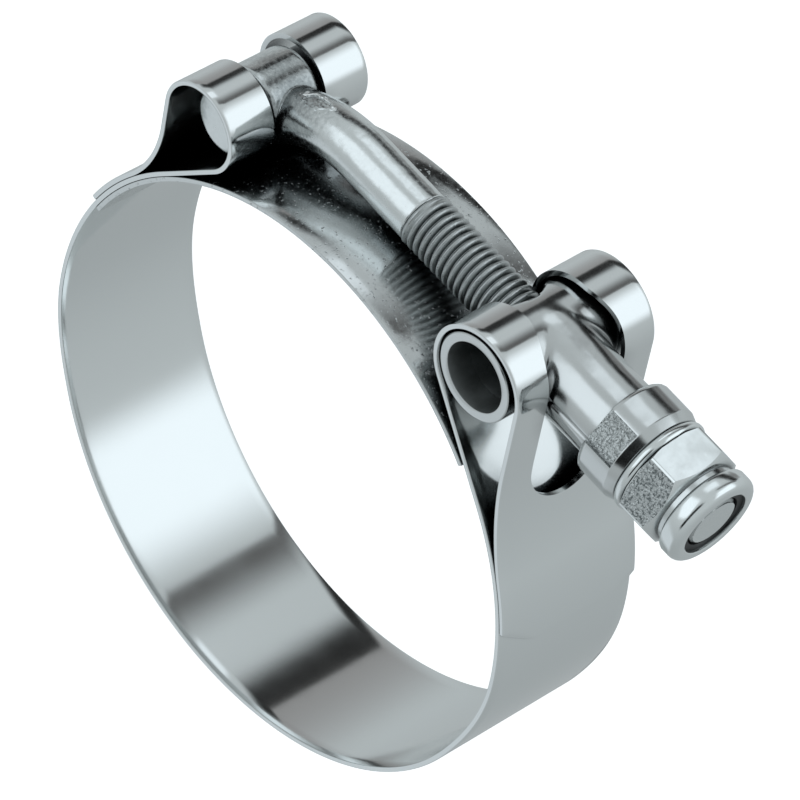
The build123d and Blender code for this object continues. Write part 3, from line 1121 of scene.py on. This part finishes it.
# a face belongs to a flat if its normal's cosine to the flat's direction is above this
flat_cosine = 0.99
facing = Vector((math.cos(flat_facing), math.sin(flat_facing), 0))
above_flat = flat_height + 0.02 * mm
above_tube_bore = tube_bore + 0.07 * mm
for polygon in collar.data.polygons:
    if polygon.normal.dot(facing) > flat_cosine and polygon.center.dot(facing) < above_flat:
        polygon.material_index = 1
# the bores take the third material, whose darker grey is painted shade
for piece in (trunnion, *tube_ends):
    for polygon in piece.data.polygons:
        from_cross_axis = math.hypot(polygon.center.x, polygon.center.z)
        if from_cross_axis < above_tube_bore and abs(polygon.normal.y) < 0.7:
            polygon.material_index = 2
trunnion = joined(trunnion, collar, *tube_ends)
set_in_place(trunnion, on_bolt)
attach(trunnion, "trunnion")
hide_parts("trunnion")

# Lock nut: washer face, hexagon, neck and a crown rolled in over the ring insert. One piece of
# zinc-plated steel: cold-formed and bright, but one flat of the hexagon is left rough.
across_flats = 11.1 * mm
hex_height = 4.75 * mm
hex_middle = 21.255 * mm
corner_turn = math.radians(37 + 90)
rough_turn = math.radians(67)
hex_faces = (18.95 * mm, 23.7 * mm)


def rounded(centre, half_axes, start, end, steps):
    """Points of a rounded corner, as (radius, distance) pairs in millimetres."""
    points = []
    for step in range(steps + 1):
        angle = math.radians(start + (end - start) * step / steps)
        points.append(
            (
                centre[0] + half_axes[0] * math.cos(angle),
                centre[1] + half_axes[1] * math.sin(angle),
            )
        )
    return points


nut = turned(
    "lock_nut_formed",
    rings(
        (3.225, 17.83),
        *rounded((5.45, 18.365), (0.35, 0.535), -90, 90, 10),
        (4.9, 18.9),
        (4.9, 24.2),
        (5.0, 24.35),
        (5.25, 24.46),
        (5.45, 24.6),
        (5.55, 24.85),
        *rounded((4.55, 25.85), (1.0, 1.0), 0, 90, 6),
        (4.1, 26.85),
        (3.98, 26.78),
        (3.95, 26.65),
        (3.95, 26.4),
        (4.53, 26.4),
        (4.53, 24.77),
        (3.225, 24.77),
        (3.225, 17.83),
    ),
    steps=128,
)
hexagon = rod(across_flats / math.sqrt(3), hex_height, vertices=6)
hexagon.data.transform(
    Matrix.Translation((0, 0, hex_middle)) @ Matrix.Rotation(corner_turn, 4, "Z")
)
break_edges(hexagon, width=0.22 * mm, segments=3)
# both faces of the hexagon are turned conical, which curves the ends of its flats
double_cone = turned(
    "double_cone",
    rings(
        (0, 18.8),
        (5.3, 18.8),
        (5.5, 18.92),
        (6.66, 19.607),
        (6.66, 22.6),
        (5.5, 23.42),
        (5.2, 23.58),
        (4.9, 23.66),
        (0, 23.66),
    ),
    steps=128,
)
cut(hexagon, double_cone, "INTERSECT")
cut(nut, hexagon, "UNION")
bpy.ops.object.select_all(action="DESELECT")
nut.select_set(True)
bpy.context.view_layer.objects.active = nut
bpy.ops.object.shade_smooth_by_angle(angle=math.radians(24))

# Zinc-plated nut: the brightest metal of the clamp, with a cool white sheen and 3 mm waves.
bright_metal = steel(
    "zinc_plated_nut",
    "e6eaea",
    grain_size=1.2 * mm,
    roughness=(0.1, 0.2),
    relief=0.3,
    depth=0.03 * mm,
    # painted shade darkens its corners within this reach
    painted_shade_reach=2 * mm,
    waves=(3 * mm, 0.04 * mm),
)
# Sheared flat: torn steel under the zinc, a grey speckle that hardly mirrors anything. Its
# real grain is finer than the 0.27 mm drawn, which is as coarse as it needs to show.
sheared_metal = steel(
    "sheared_plated_steel",
    "c8cccc",
    grain_size=0.4 * mm,
    roughness=(0.2, 0.35),
    relief=1.0,
    depth=0.4 * mm,
    # painted shade darkens its corners within this reach
    painted_shade_reach=1 * mm,
    pits=(0.27 * mm, 0.55, "7c8283", 0.42),
)
nut.data.materials.append(bright_metal)
nut.data.materials.append(sheared_metal)
rough_facing = Vector((math.cos(rough_turn), math.sin(rough_turn), 0))
for polygon in nut.data.polygons:
    on_hexagon = hex_faces[0] < polygon.center.z < hex_faces[1]
    if on_hexagon and polygon.normal.dot(rough_facing) > flat_cosine:
        polygon.material_index = 1
set_in_place(nut, on_bolt)
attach(nut, "nut")
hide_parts("lock_nut")

# Ring insert: a moulded nylon ring that grips the thread and keeps the nut from working
# loose. It is caught in the crown's groove under the rolled lip.
insert = frame["nodes"]["nut_insert"]
# Moulded nylon with a soft, even sheen; its near black is painted shade for the dark ring inside the crown.
nylon_painted_shade, tree, out = new_material("nylon_black_painted_shade")
resin = add(
    tree, "ShaderNodeBsdfPrincipled", {"Base Color": rgb("141516"), "Roughness": 0.5}
)
tree.links.new(resin.outputs[0], out.inputs["Surface"])
insert.data.materials.clear()
insert.data.materials.append(nylon_painted_shade)
